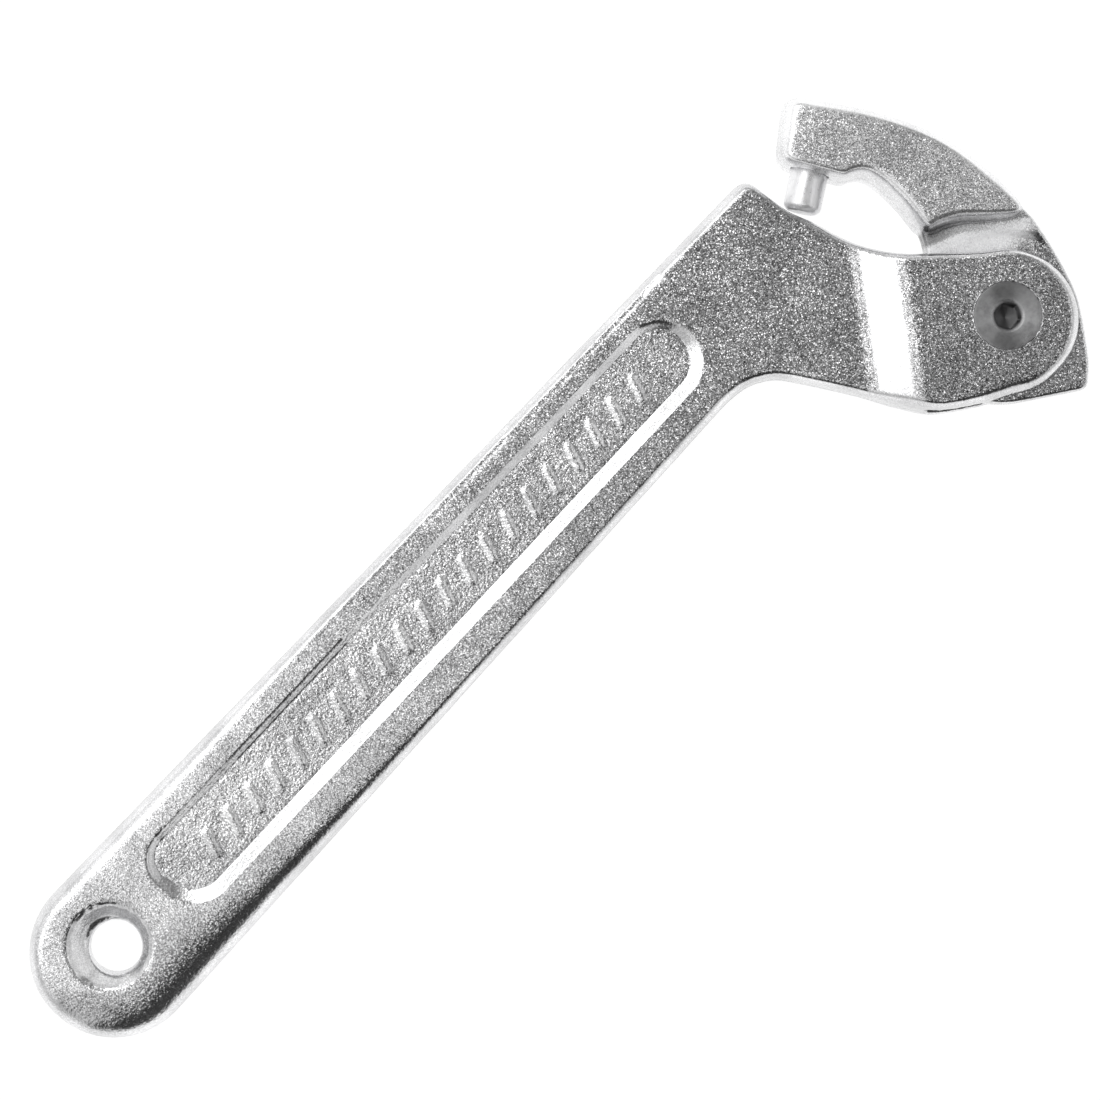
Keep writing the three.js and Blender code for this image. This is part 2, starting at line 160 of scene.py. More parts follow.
# The third of these brightens the colour of dull parts: painted light for the glow on the jaw's tab and arm.
DULL_FROM, DULL_METALLIC, PAINTED_LIGHT_LIFT, SATIN_ROUGH = (0.5, 2), 0.15, 1.55, 0.5
CHROME_ROUGH = (0.12, 0.22)

# The pin's and the screw's looks. Their noise is two layers of (size, height).
PIN_NOISE, PIN_PATCHES, PIN_GREYS = ((0.9, 0.02), (0.25, 0.004)), (0.3, 0.6), (0.85, 0.95)
PIN_ROUGH, PIN_METALLIC = (0.26, 0.36), 0.65
SCREW_NOISE, SCREW_PATCHES, SCREW_GREYS = ((1.2, 0.015), (0.2, 0.008)), (0.35, 0.65), (0.27, 0.38)
SCREW_ROUGH = (0.3, 0.4)
RING_PITCH, RING_HEIGHT, RING_SHEEN = 0.09, 0.012, 0.95
# The socket is painted darker than the head, as shade.
SOCKET_EDGE, SOCKET_SHADE_GREY, WORN_GREY, WORN_SHARES = (2.2, 2.5), 0.12, 0.5, (0.3, 0.6, 0.2, 0.8)

# The room's light by direction. Overhead it is a line of (x, level) stops. Two rows change that by y:
# DIM_BAND (from, to, factor) past DIM_FROM_X, and ACROSS_HEAD (from, to, factors) past HEAD_FROM_X.
# The sides are (from, to, level), by y, and RIGHT_SIDE by x less y. Going down, SIDE_CAP is the
# greatest level by z, and HORIZON the level near the floor.
OVERHEAD_LEVELS = (
    (-0.7, 1.0), (-0.5, 0.75), (-0.36, 0.7), (-0.2, 1.3), (-0.14, 1.2),
    (-0.04, 0.85), (0.05, 0.27), (0.12, 0.11), (0.18, 0.32), (0.6, 0.42),
)
DIM_BAND, DIM_FROM_X = (0.07, 0.15, 0.72), (-0.18, -0.1)
ACROSS_HEAD, HEAD_FROM_X = (-0.07, 0.03, 1.4, 0.75), (-0.1, 0.08)
BRIGHT_SIDE = (0.3, 0.56, 2.2)
DARK_SIDE = (-0.23, -0.38, 0.04)
RIGHT_SIDE = (0.75, 0.95, 1.3)
SIDE_CAP = (0.7, 0.64, 0.6)
HORIZON = (0.36, 0.16, 0.9)

# Stage, in metres, and camera, whose place is in millimetres from the pivot.
FLOOR_REACH, FLOOR_GAP = 3.0, 0.0002
FLOOR_GREY, FLOOR_ROUGH, FLOOR_GLOW = 0.15, 0.9, 0.94
KEY_WAY, KEY_DISTANCE, KEY_SIZE, KEY_POWER = (-0.2, 0.9, 1.0), 1.2, 1.5, 3
CAMERA_PLACE, CAMERA_TURN = (-80.2, 28.87, 461), -46.9
CAMERA_LENS, CAMERA_SENSOR, CAMERA_CLIP = 88.36, 36, 0.01


# ---------------------------------------------------------------- surfaces

def smoothstep(low, high, value):
    t = np.clip((value - low) / (high - low), 0, 1)
    return t * t * (3 - 2 * t)


def fine_surface(node, voxel):
    """The CAD node's surface as an even grid of quads: its points, edges and faces."""
    mesh = frame["nodes"][node].data.copy()
    mesh.transform(Matrix.Translation(-PIVOT) @ Matrix.Scale(1 / MM, 4))
    welded = bmesh.new()
    welded.from_mesh(mesh)
    bmesh.ops.remove_doubles(welded, verts=welded.verts, dist=WELD)
    welded.to_mesh(mesh)
    welded.free()
    work = bpy.data.objects.new("work", mesh)
    bpy.context.scene.collection.objects.link(work)
    grid = work.modifiers.new("grid", "REMESH")
    grid.mode = "VOXEL"
    grid.voxel_size = voxel
    result = bpy.data.meshes.new_from_object(work.evaluated_get(bpy.context.evaluated_depsgraph_get()))
    points = np.zeros(len(result.vertices) * 3)
    result.vertices.foreach_get("co", points)
    edges = np.zeros(len(result.edges) * 2, int)
    result.edges.foreach_get("vertices", edges)
    faces = [tuple(p.vertices) for p in result.polygons]
    bpy.data.objects.remove(work)
    return points.reshape(-1, 3), edges.reshape(-1, 2), faces


def relaxed(points, edges, strength, rounds):
    """Each point moves part of the way to the middle of its neighbours, again and again."""
    a, b = edges.T
    size = len(points)
    count = np.bincount(edges.ravel(), minlength=size)
    share = np.broadcast_to(strength, size)
    for _ in range(rounds):
        sums = [np.bincount(a, points[b, k], size) + np.bincount(b, points[a, k], size) for k in range(3)]
        middle = np.stack(sums, 1) / count[:, None]
        points = points + share[:, None] * (middle - points)
    return points


def normals_of(points, faces):
    """Point normals of a surface of triangles and quads."""
    total = np.zeros_like(points)
    for sides in (3, 4):
        some = np.array([f for f in faces if len(f) == sides], int)
        if not len(some):
            continue
        across = np.cross(points[some[:, 2]] - points[some[:, 0]], points[some[:, -1]] - points[some[:, 1]])
        for k in range(sides):
            for axis in range(3):
                total[:, axis] += np.bincount(some[:, k], across[:, axis], len(points))
    return total / np.maximum(np.linalg.norm(total, axis=1), TINY)[:, None]


def lumps(points, size, seed, octaves=2):
    """Smooth noise between about -1 and 1, with bumps of the given size in millimetres."""
    shift = Vector([seed * part for part in SEED_SHIFT])
    return np.array([noise.fractal(Vector(p) / size + shift, 1.0, 2.0, octaves) for p in points])


def unevenness(points, layers):
    """How far each point stands out, from layers of (height, size, seed)."""
    return sum(height * lumps(points, size, seed) for height, size, seed in layers)


def new_piece(name, points, faces, body, slot_name, node, creased=None, **shares):
    """A smooth-shaded piece in place of a CAD node. shares are per-point numbers that its material reads.

    An edge between two creased points is shaded sharp.
    """
    mesh = bpy.data.meshes.new(name)
    mesh.from_pydata(((np.asarray(points) + np.array(PIVOT)) * MM).tolist(), [], faces)
    mesh.shade_smooth()
    if creased is not None:
        ends = np.zeros(len(mesh.edges) * 2, int)
        mesh.edges.foreach_get("vertices", ends)
        sharp = mesh.attributes.new("sharp_edge", "BOOLEAN", "EDGE")
        sharp.data.foreach_set("value", creased[ends.reshape(-1, 2)].all(1))
    for key, values in shares.items():
        layer = mesh.attributes.new(key, "FLOAT", "POINT")
        layer.data.foreach_set("value", np.asarray(values, np.float32))
    piece = bpy.data.objects.new(name, mesh)
    bpy.context.scene.collection.objects.link(piece)
    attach(piece, body)
    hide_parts(node)
    return piece


# ---------------------------------------------------------------- materials

class Nodes:
    """A short way to write a node tree."""

    def __init__(self, tree):
        self.tree = tree
        tree.nodes.clear()

    def add(self, kind, inputs=None, **settings):
        node = self.tree.nodes.new(kind)
        for key, value in settings.items():
            setattr(node, key, value)
        for key, value in (inputs or {}).items():
            self.put(node, key, value)
        return node

    def put(self, node, key, value):
        if isinstance(value, bpy.types.NodeSocket):
            self.tree.links.new(value, node.inputs[key])
        else:
            node.inputs[key].default_value = value

    def math(self, operation, a, b=0.0, clamp=False):
        node = self.add("ShaderNodeMath", {0: a, 1: b}, operation=operation, use_clamp=clamp)
        return node.outputs[0]

    def product(self, first, *others):
        for other in others:
            first = self.math("MULTIPLY", first, other)
        return first

    def vector(self, operation, a, b=None, output="Vector"):
        inputs = {0: a} if b is None else {0: a, 1: b}
        return self.add("ShaderNodeVectorMath", inputs, operation=operation).outputs[output]

    def part(self, vector, axis):
        return self.add("ShaderNodeSeparateXYZ", {0: vector}).outputs[axis]

    def bump(self, height_mm, **inputs):
        inputs = {"Height": height_mm, "Distance": MM, "Strength": 1.0, **inputs}
        return self.add("ShaderNodeBump", inputs).outputs[0]

    def ramp(self, value, low, high, out_low=0.0, out_high=1.0):
        node = self.add("ShaderNodeMapRange", {
            "Value": value, "From Min": low, "From Max": high, "To Min": out_low, "To Max": out_high,
        })
        return node.outputs["Result"]

    def noise(self, place, size_mm, detail=2.0, rough=0.5):
        node = self.add("ShaderNodeTexNoise", {
            "Vector": place, "Scale": 1 / (size_mm * MM), "Detail": detail, "Roughness": rough,
        })
        return node.outputs["Fac"]

    def curve(self, value, stops, top=2.0):
        """A line through (value, result) stops, for values from -1 to 1 and results up to top."""
        node = self.add("ShaderNodeValToRGB", {"Fac": self.ramp(value, -1, 1)})
        ramp = node.color_ramp
        while len(ramp.elements) < len(stops):
            ramp.elements.new(0.5)
        for element, (place, result) in zip(ramp.elements, stops):
            element.position = (place + 1) / 2
            element.color = grey(result / top, 1)
        return self.math("MULTIPLY", node.outputs["Color"], top)

    def blend(self, factor, a, b):
        """Mixes two numbers, which have the third and fourth sockets of the node."""
        return self.add("ShaderNodeMix", {"Factor": factor, 2: a, 3: b}).outputs[0]

    def share(self, name):
        return self.add("ShaderNodeAttribute", attribute_name=name).outputs["Fac"]

    def mix(self, factor, a, b):
        """Mixes two colours, which have the seventh and eighth sockets of the node."""
        return self.add("ShaderNodeMix", {"Factor": factor, 6: a, 7: b}, data_type="RGBA").outputs[2]


def new_material(name):
    material = bpy.data.materials.new(name)
    material.use_nodes = True
    nodes = Nodes(material.node_tree)
    place = nodes.add("ShaderNodeTexCoord").outputs["Object"]
    return material, nodes, place


def finish_material(nodes, **inputs):
    shader = nodes.add("ShaderNodeBsdfPrincipled", {k.replace("_", " "): v for k, v in inputs.items()})
    nodes.add("ShaderNodeOutputMaterial", {"Surface": shader.outputs[0]})


def grey(value, blue=1.01):
    return (value, value, value * blue, 1)


def forged_chrome():
    """Bright plating over a grainy forging.

    It reads three shares of the surface. grain is 0 where machined, 1 where forged and 2 in the recess.
    satin is 0 where bright and 2 where fully dull, and brightens the colour there as painted light.
    shadow is 1 in the corner under the jaw's step.
    """
    material, nodes, place = new_material("forged_chrome")
    grain, satin, shadow = nodes.share("grain"), nodes.share("satin"), nodes.share("shadow")
    cast = nodes.ramp(grain, 1, 2)
    forged = nodes.ramp(grain, 0, 1, MACHINED_GRAIN, 1)
    grip = nodes.ramp(nodes.part(place, 0), *GRIP_FROM_X)
    normal = nodes.add("ShaderNodeNewGeometry").outputs["Normal"]
    level = nodes.math("ABSOLUTE", nodes.part(normal, 2))
    flat = nodes.ramp(level, *FLAT_FROM, STEEP_GRAIN, 1)

    facets = {"Vector": place, "Scale": 1 / (FACET_SIZE * MM)}
    cells = nodes.add("ShaderNodeTexVoronoi", facets).outputs["Color"]
    tilt = nodes.vector("SUBTRACT", cells, (0.5, 0.5, 0.5))
    amount = nodes.product(nodes.blend(grip, *FACET_TILT), nodes.ramp(grain, 1, 2, 1, RECESS_TILT))
    amount = nodes.product(amount, forged, flat, nodes.vector("DOT_PRODUCT", tilt, tilt, "Value"))
    tilt = nodes.add("ShaderNodeVectorMath", {0: tilt, "Scale": amount}, operation="SCALE").outputs[0]
    normal = nodes.vector("NORMALIZE", nodes.vector("ADD", normal, tilt))

    coarse = nodes.noise(place, COARSE_SIZE)
    wave = nodes.noise(place, WAVE_SIZE, 1)
    swell = nodes.math("ADD", nodes.blend(grip, *COARSE_HEIGHT), nodes.product(cast, RECESS_HEIGHT))
    height = nodes.math("ADD", nodes.product(coarse, swell, forged), nodes.product(wave, WAVE_HEIGHT))

    dark = nodes.blend(flat, STEEP_PEPPER, nodes.blend(grip, *FLAT_PEPPER))
    dark = nodes.blend(nodes.ramp(satin, *DULL_FROM), dark, SATIN_PEPPER)
    pepper = nodes.blend(nodes.ramp(nodes.part(cells, 2), PEPPER_FROM, 1), dark, 1.0)
    cloud = nodes.ramp(nodes.noise(place, CLOUD_SIZE), *CLOUD_RANGE)
    shade = nodes.product(
        # Painted light: the dull tab and arm of the jaw are coloured brighter.
        pepper, cloud, nodes.ramp(satin, 0, 2, 1, PAINTED_LIGHT_LIFT), nodes.ramp(shadow, 0, 1, 1, SHADOW_LEVEL),
        # Painted shade: steep sides are coloured darker.
        nodes.ramp(grain, 1, 2, 1, RECESS_LIFT), nodes.ramp(level, *PAINTED_EDGE_SHADE),
    )
    colour = nodes.mix(nodes.math("MINIMUM", shade, 1.0), grey(0), grey(1))
    dulled = nodes.product(nodes.ramp(satin, 0, 2, 0, SATIN_ROUGH), flat)
    rough = nodes.math("ADD", nodes.ramp(coarse, *NOISE_RANGE, *CHROME_ROUGH), dulled)
    metallic = nodes.ramp(satin, *DULL_FROM, 1, DULL_METALLIC)
    bump = nodes.bump(height, Normal=normal)
    finish_material(nodes, Base_Color=colour, Metallic=metallic, Roughness=rough, Normal=bump)
    return material


def pin_steel():
    """Turned steel under satin plating, faintly uneven."""
    material, nodes, place = new_material("pin_steel")
    (soft_size, soft_height), (fine_size, fine_height) = PIN_NOISE
    soft = nodes.noise(place, soft_size)
    fine = nodes.noise(place, fine_size, rough=FINE_NOISE[1])
    height = nodes.math("ADD", nodes.product(soft, soft_height), nodes.product(fine, fine_height))
    colour = nodes.mix(nodes.ramp(soft, *PIN_PATCHES), *map(grey, PIN_GREYS))
    rough = nodes.ramp(soft, *NOISE_RANGE, *PIN_ROUGH)
    bump = nodes.bump(height)
    finish_material(nodes, Base_Color=colour, Metallic=PIN_METALLIC, Roughness=rough, Normal=bump)
    return material


def black_oxide():
    """Blackened steel, satin, with fine turning rings, painted darker in the socket as shade, and lighter on
    rubbed edges.

    It reads the share worn, which is about 1 on a rubbed edge.
    """
    material, nodes, place = new_material("black_oxide")
    (soft_size, soft_height), (fine_size, fine_height) = SCREW_NOISE
    soft = nodes.noise(place, soft_size, *FINE_NOISE)
    fine = nodes.noise(place, fine_size, *FINE_NOISE)
    from_axis = nodes.vector("SUBTRACT", place, tuple(PIVOT * MM))
    flat = nodes.vector("MULTIPLY", from_axis, (1, 1, 0))
    radius = nodes.vector("LENGTH", flat, output="Value")
    ringing = {"W": radius, "Scale": 1 / (RING_PITCH * MM), "Detail": 1.0}
    rings = nodes.add("ShaderNodeTexNoise", ringing, noise_dimensions="1D").outputs["Fac"]
    height = nodes.math("ADD", nodes.product(soft, soft_height), nodes.product(fine, fine_height))
    height = nodes.math("ADD", height, nodes.product(rings, RING_HEIGHT))
    colour = nodes.mix(nodes.ramp(soft, *SCREW_PATCHES), *map(grey, SCREW_GREYS))
    # Painted shade: darker inside the socket.
    colour = nodes.mix(nodes.ramp(radius, *(r * MM for r in SOCKET_EDGE)), grey(SOCKET_SHADE_GREY), colour)
    rub = nodes.math("MULTIPLY", nodes.share("worn"), nodes.ramp(fine, *WORN_SHARES), clamp=True)
    finish_material(
        nodes, Base_Color=nodes.mix(rub, colour, grey(WORN_GREY)), Metallic=1.0,
        Roughness=nodes.ramp(soft, *NOISE_RANGE, *SCREW_ROUGH), Normal=nodes.bump(height),
        Anisotropic=RING_SHEEN, Tangent=nodes.vector("NORMALIZE", flat),
    )
    return material


# ---------------------------------------------------------------- the forgings

def to_line(x, y, line):
    """Distance in plan from each point to a line of straight stretches, and the direction towards it."""
    nearest = np.full(len(x), np.inf)
    way = np.zeros((len(x), 2))
    for (x0, y0), (x1, y1) in zip(line, line[1:]):
        dx, dy = x1 - x0, y1 - y0
        t = np.clip(((x - x0) * dx + (y - y0) * dy) / (dx * dx + dy * dy), 0, 1)
        gap = np.stack([x0 + t * dx - x, y0 + t * dy - y], 1)
        size = np.hypot(*gap.T)
        closer = size < nearest
        nearest = np.where(closer, size, nearest)
        way = np.where(closer[:, None], gap / np.maximum(size, TINY)[:, None], way)
    return nearest, way


def inside_of(x, y, line):
    """Whether each point is inside a closed line."""
    inside = np.zeros(len(x), bool)
    for (x0, y0), (x1, y1) in zip(line, line[1:]):
        if y0 != y1:
            crosses = (y0 > y) != (y1 > y)
            inside ^= crosses & (x < x0 + (y - y0) * (x1 - x0) / (y1 - y0))
    return inside


def arc(x, y, r, start, end, steps):
    """Points along an arc, between two angles in degrees."""
    angles = np.radians(np.linspace(start, end, steps + 1))
    return [(x + r * math.cos(a), y + r * math.sin(a)) for a in angles]


def recess_outline():
    """A closed line: a round end towards the head, and two corners at the tail."""
    (x0, x1), (y0, y1) = RECESS_X, RECESS_Y
    upper, lower, head = RECESS_TAIL_UPPER_R, RECESS_TAIL_LOWER_R, (y1 - y0) / 2
    line = arc(x0 + upper, y1 - upper + RECESS_TAIL_LIFT, upper, 90, 180, steps=10)
    line += arc(x0 + lower, y0 + lower, lower, 180, 270, steps=12)
    line += arc(x1 - head, y0 + head, head, -90, 90, steps=28)
    return line + line[:1]


def cut_recess(points):
    """Gives both grip recesses crisp lips and straight walls.

    Returns the points, their share of recess floor, and which of them are on a crisp lip or foot.
    """
    x, y, z = points.T
    line = recess_outline()
    gap, way = to_line(x, y, line)
    inside = inside_of(x, y, line)
    depth_in = np.where(inside, gap, -gap)
    outward = np.where(inside[:, None], way, -way)
    upper = np.interp(x, *UPPER_WALLS)
    wall = LOWER_WALL + (upper - LOWER_WALL) * smoothstep(*WALL_CHANGE_Y, y)
    near = (np.abs(z - MID_Z) > RECESS_NEAR_FACE) & (depth_in > -RECESS_MARGIN)
    creased = np.zeros(len(x), bool)
    for edge in (0, wall):
        caught = near & (np.abs(depth_in - edge) < LIP_SNAP)
        creased |= caught & ((x > CRISP_X) | (y < CRISP_Y))
        step = np.where(caught, depth_in - edge, 0)
        points[:, :2] += outward * step[:, None]
        depth_in = depth_in - step
    sunk = RECESS_DEPTH * np.clip(depth_in / wall, 0, 1)
    level = MID_Z + np.sign(z - MID_Z) * (GRIP_FACE_Z - MID_Z - sunk)
    points[:, 2] = np.where(near, level, points[:, 2])
    return points, np.where(near, smoothstep(*FLOOR_START, depth_in - wall), 0), creased


def grip_edge_distance(x, y):
    """How far in from the grip's edge a point is, seen from above. The grip is a bar with a round end."""
    half = np.interp(x, (TAIL_X, GRIP_END_X), (TAIL_R, GRIP_END_R))
    return half - np.hypot(np.minimum(x - TAIL_X, 0), y - GRIP_MID_Y)


def raised_bars(x, y):
    """A plain row of slanted bars down the middle of the recess, 1 on a bar and 0 off it."""
    first, last = RECESS_X[0] + BAR_END_GAP, RECESS_X[1] - BAR_END_GAP
    up = y - sum(RECESS_Y) / 2
    along = x - first - BAR_SLANT * up
    number = np.round(along / BAR_PITCH)
    past_end = np.maximum(np.abs(up) - BAR_HALF_LENGTH + BAR_HALF_WIDTH, 0)
    off = np.hypot(past_end, along - number * BAR_PITCH)
    real = (number >= 0) & (number * BAR_PITCH <= last - first)
    return np.where(real, 1 - smoothstep(*BAR_EDGE, off), 0)


def crisp_rims(points):
    """The heights that draw the rounding of the outer edges closer to the outline, and the neck's slope."""
    x, y, z = points.T
    angle = math.radians(NECK_ANGLE)
    along_neck = x * math.cos(angle) + y * math.sin(angle)
    packed = np.interp(along_neck, *zip(*NECK_PACKED))
    drawn = np.interp(along_neck, *zip(*NECK_DRAWN))
    rise = np.abs(z - MID_Z) / packed
    grip = smoothstep(GRIP_START_X, GRIP_START_X - GRIP_BLEND, x)
    crisp = np.interp(rise, *zip(*HEAD_RIM)) * (1 - grip) + np.interp(rise, *zip(*GRIP_RIM)) * grip
    soft = np.maximum(smoothstep(*SOFT_TAIL_X, x), smoothstep(*SOFT_HEAD_X, x))
    crisp = crisp + (rise - crisp) * soft
    return np.where(np.hypot(x, y) > SEAT_REACH, MID_Z + np.sign(z - MID_Z) * drawn * crisp, z)


def scale_in_plan(points, chosen, centre, factor):
    """Moves the chosen points towards or away from a centre, seen from above."""
    for axis in (0, 1):
        moved = centre[axis] + (points[:, axis] - centre[axis]) * factor
        points[:, axis] = np.where(chosen, moved, points[:, axis])


def draw_dish(points):
    """Sets the lip of the dish on its circle. Returns each point's distance from its centre, and the lip."""
    x, y, z = points.T
    from_centre = np.hypot(x - DISH[0], y - DISH[1])
    on_lip = (np.abs(from_centre - DISH_R) < DISH_SNAP) & (np.abs(z - MID_Z) > NEAR_FACE)
    scale_in_plan(points, on_lip, DISH, DISH_R / from_centre)
    return from_centre, on_lip


def draw_rims(points, edges):
    """Makes the rims crisp, then rounds the edges of the tail, most of all on its lower side."""
    x, y, z = points.T
    inset = grip_edge_distance(x, y)
    points[:, 2] = np.where((inset < RIM_WIDTH) | (x > GRIP_START_X), crisp_rims(points), z)
    tail = smoothstep(*TAIL_FROM_X, x)
    lower = smoothstep(*LOWER_FROM_Y, y - GRIP_MID_Y)
    end = lower * smoothstep(*TAIL_END_X, x)
    width = TAIL_WIDTH + TAIL_ADDED_WIDTH * tail + TAIL_END_WIDTH * end
    drop = (TAIL_DROP + TAIL_LOWER_DROP * lower + TAIL_END_DROP * end) * tail
    drop *= np.clip(1 - inset / width, 0, 1) ** 2
    face = np.clip(np.abs(z - MID_Z) / (GRIP_FACE_Z - MID_Z), 0, 1)
    points[:, 2] -= np.sign(z - MID_Z) * face * drop
    strength = TAIL_SMOOTHING * smoothstep(*TAIL_SMOOTH_X, x) * (inset < TAIL_SMOOTH_WIDTH)
    return relaxed(points, edges, strength, TAIL_SMOOTH_ROUNDS)


def draw_seat(points):
    """Draws the mouth of the screw's seat in to the screw's head."""
    x, y, z = points.T
    inner, outer = SEAT_MOUTH
    from_axis = np.hypot(x, y)
    in_mouth = (from_axis > inner) & (from_axis < outer) & (z > HEAD_FACE_Z - SEAT_LIP_DEPTH)
    pulled = np.maximum(SEAT_R, outer - (outer - from_axis) * SEAT_PULL)
    scale_in_plan(points, in_mouth, (0, 0), pulled / from_axis)
    points[:, 2] = np.where(in_mouth, HEAD_FACE_Z, points[:, 2])


def parting_ridge(points, normals):
    """The thin ground-off line that the forging dies leave round surfaces that face sideways."""
    sideways = np.clip(1 - np.abs(normals[:, 2]) * SIDEWAYS, 0, 1)
    return sideways * RIDGE_HEIGHT * np.exp(-(((points[:, 2] - MID_Z) / RIDGE_HALF_WIDTH) ** 2))


def make_handle():
    """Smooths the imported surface, draws its recess, dish, rims and seat, and makes it a little uneven."""
    points, edges, faces = fine_surface("handle", HANDLE_VOXEL)
    x, y, z = points.T
    by_hole = np.hypot(x - DISH[0], y - DISH[1]) < DISH_R + DISH_MARGIN
    by_seat = (np.hypot(x, y) < SEAT_REACH) & (z > MID_Z + NEAR_FACE)
    strength = np.where(by_hole, HOLE_SMOOTHING, np.where(by_seat, SEAT_SMOOTHING, HANDLE_SMOOTHING))
    points = relaxed(points, edges, strength, SMOOTH_ROUNDS)
    points, floor, creased = cut_recess(points)
    points = relaxed(points, edges, LIP_SMOOTHING, 1)
    from_hole, on_lip = draw_dish(points)
    points = draw_rims(points, edges)
    draw_seat(points)
    x, y, _ = points.T
    normals = normals_of(points, faces)
    in_slot = np.hypot(x, y) < SLOT_R
    forged = unevenness(points, HANDLE_LUMPS) + np.where(in_slot, 0, parting_ridge(points, normals))
    cast = unevenness(points, RECESS_LUMPS) + BAR_HEIGHT * raised_bars(x, y)
    points = points + normals * (forged + floor * cast)[:, None]
    creased |= on_lip
    grain = 1 + floor - DISH_POLISH * (from_hole < DISH_R - DISH_INSET)
    return new_piece(
        "forged_handle", points, faces, "handle_body", "forged_chrome", "handle", creased, grain=grain,
    )


def make_jaw():
    """Raises the tab towards the step, smooths the surface, and rounds the arm, its step and its end."""
    points, edges, faces = fine_surface("hook_jaw", JAW_VOXEL)
    x, y, z = points.T
    side = np.sign(z - MID_Z)
    height = np.abs(z - MID_Z)
    past_ear = smoothstep(*EAR_EDGE_R, np.hypot(x, y))
    rise = WEB_SLOPE * np.clip(WEB_TOP_Y - y, *WEB_SPAN) * smoothstep(*WEB_FADE_Y, y) * past_ear
    on_web = (height > TAB_HALF - TAB_MARGIN) & (past_ear > 0)
    raised = np.maximum(TAB_HALF + rise + np.minimum(height - TAB_HALF, 0), height)
    points[:, 2] = np.where(on_web, MID_Z + side * raised, z)
    points = relaxed(points, edges, JAW_SMOOTHING, SMOOTH_ROUNDS)
    x, y, z = points.T
    face = smoothstep(*ARM_FACE, np.abs(z - MID_Z) / ARM_HALF)
    off_middle = np.abs(np.hypot(x - ARM_CENTRE[0], y - ARM_CENTRE[1]) - ARM_MID_R)
    crown = ARM_CROWN * np.minimum(off_middle, ARM_CROWN_REACH) ** 2 * smoothstep(*ARM_CROWN_Y, y)
    from_step, _ = to_line(x, y, STEP_LINE)
    step_width = np.interp(x, STEP_ENDS_X, STEP_WIDTHS)
    step = STEP_DROP * np.clip(1 - from_step / step_width, 0, 1) ** 2
    from_end, _ = to_line(x, y, BLOCK_END)
    end = BLOCK_END_DROP * np.clip(1 - from_end / BLOCK_END_WIDTH, 0, 1) ** 2
    points[:, 2] -= side * face * (crown + step + end)
    arm = arm_share(x, y)
    normals = normals_of(points, faces)
    forged = unevenness(points, JAW_LUMPS) + arm * parting_ridge(points, normals)
    points = points + normals * forged[:, None]
    # The dull share also brightens the colour as painted light, most on the tab.
    satin = (ARM_SATIN_AND_LIGHT + (TAB_SATIN_AND_LIGHT - ARM_SATIN_AND_LIGHT) * (1 - arm)) * smoothstep(*SATIN_AND_LIGHT_FROM_Y, y)
    shadow = smoothstep(*SHADOW_REACH, from_step) * np.interp(x, SHADOW_X, SHADOW_SHARES)
    return new_piece(
        "forged_jaw", points, faces, "jaw_body", "forged_chrome", "hook_jaw",
        grain=np.ones(len(x)), satin=satin, shadow=shadow,
    )


def arm_share(x, y):
    """1 on the jaw's arm and 0 on its tab."""
    return smoothstep(-STEP_BLEND, STEP_BLEND, y - np.interp(x, *zip(*STEP_LINE)))


# ---------------------------------------------------------------- the turned pieces

def turned(rings):
    """Rings round the z axis joined into one closed skin.

    A ring is a (radius, z) pair, and either may be a function of the angle.
    """
    steps = TURNED_STEPS
    points, faces = [], []

    def value(number, angle):
        return number(angle) if callable(number) else number

    for radius, z in rings:
        for k in range(steps):
            angle = 2 * math.pi * k / steps
            r = value(radius, angle)
            points.append((r * math.cos(angle), r * math.sin(angle), value(z, angle)))
    for ring in range(len(rings) - 1):
        for k in range(steps):
            a, b = ring * steps + k, ring * steps + (k + 1) % steps
            faces.append((a + steps, b + steps, b, a))
    faces.append(tuple(range(steps)))
    faces.append(tuple(reversed(range(len(points) - steps, len(points)))))
    return points, faces


def rounded(start, corner, end, steps=4):
    """Rings round a corner. start, corner and end are (radius, z) pairs."""
    rings = []
    for k in range(steps + 1):
        t = k / steps
        weights = (1 - t) ** 2, 2 * t * (1 - t), t * t
        rings.append(tuple(sum(w * p for w, p in zip(weights, trio)) for trio in zip(start, corner, end)))
    return rings


def make_pin():
    low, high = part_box("pin")
    angle = math.radians(PIN_ANGLE)
    inward = -Vector((math.cos(angle), math.sin(angle), 0))
    tip = (low + high) / 2 / MM - PIVOT - inward * PIN_LENGTH / 2
    edge = PIN_R - PIN_CHAMFER
    inner = (PIN_R - PIN_ROUND, PIN_CHAMFER - PIN_ROUND)
    rings = [(NEAR_AXIS, PIN_LENGTH), (edge, PIN_LENGTH), (PIN_R, PIN_LENGTH - PIN_CHAMFER)]
    rings += rounded((PIN_R, PIN_CHAMFER + PIN_ROUND), (PIN_R, PIN_CHAMFER), inner)
    rings += rounded((edge + PIN_TIP_ROUND, PIN_TIP_ROUND), (edge, 0), (edge - PIN_ROUND, 0))
    rings += [(edge / 2, 0), (NEAR_AXIS, 0)]
    points, faces = turned(rings)
    turn = inward.to_track_quat("Z", "Y")
    points = [tip + turn @ Vector(p) for p in points]
    return new_piece("turned_pin", points, faces, "jaw_body", "pin_steel", "pin")


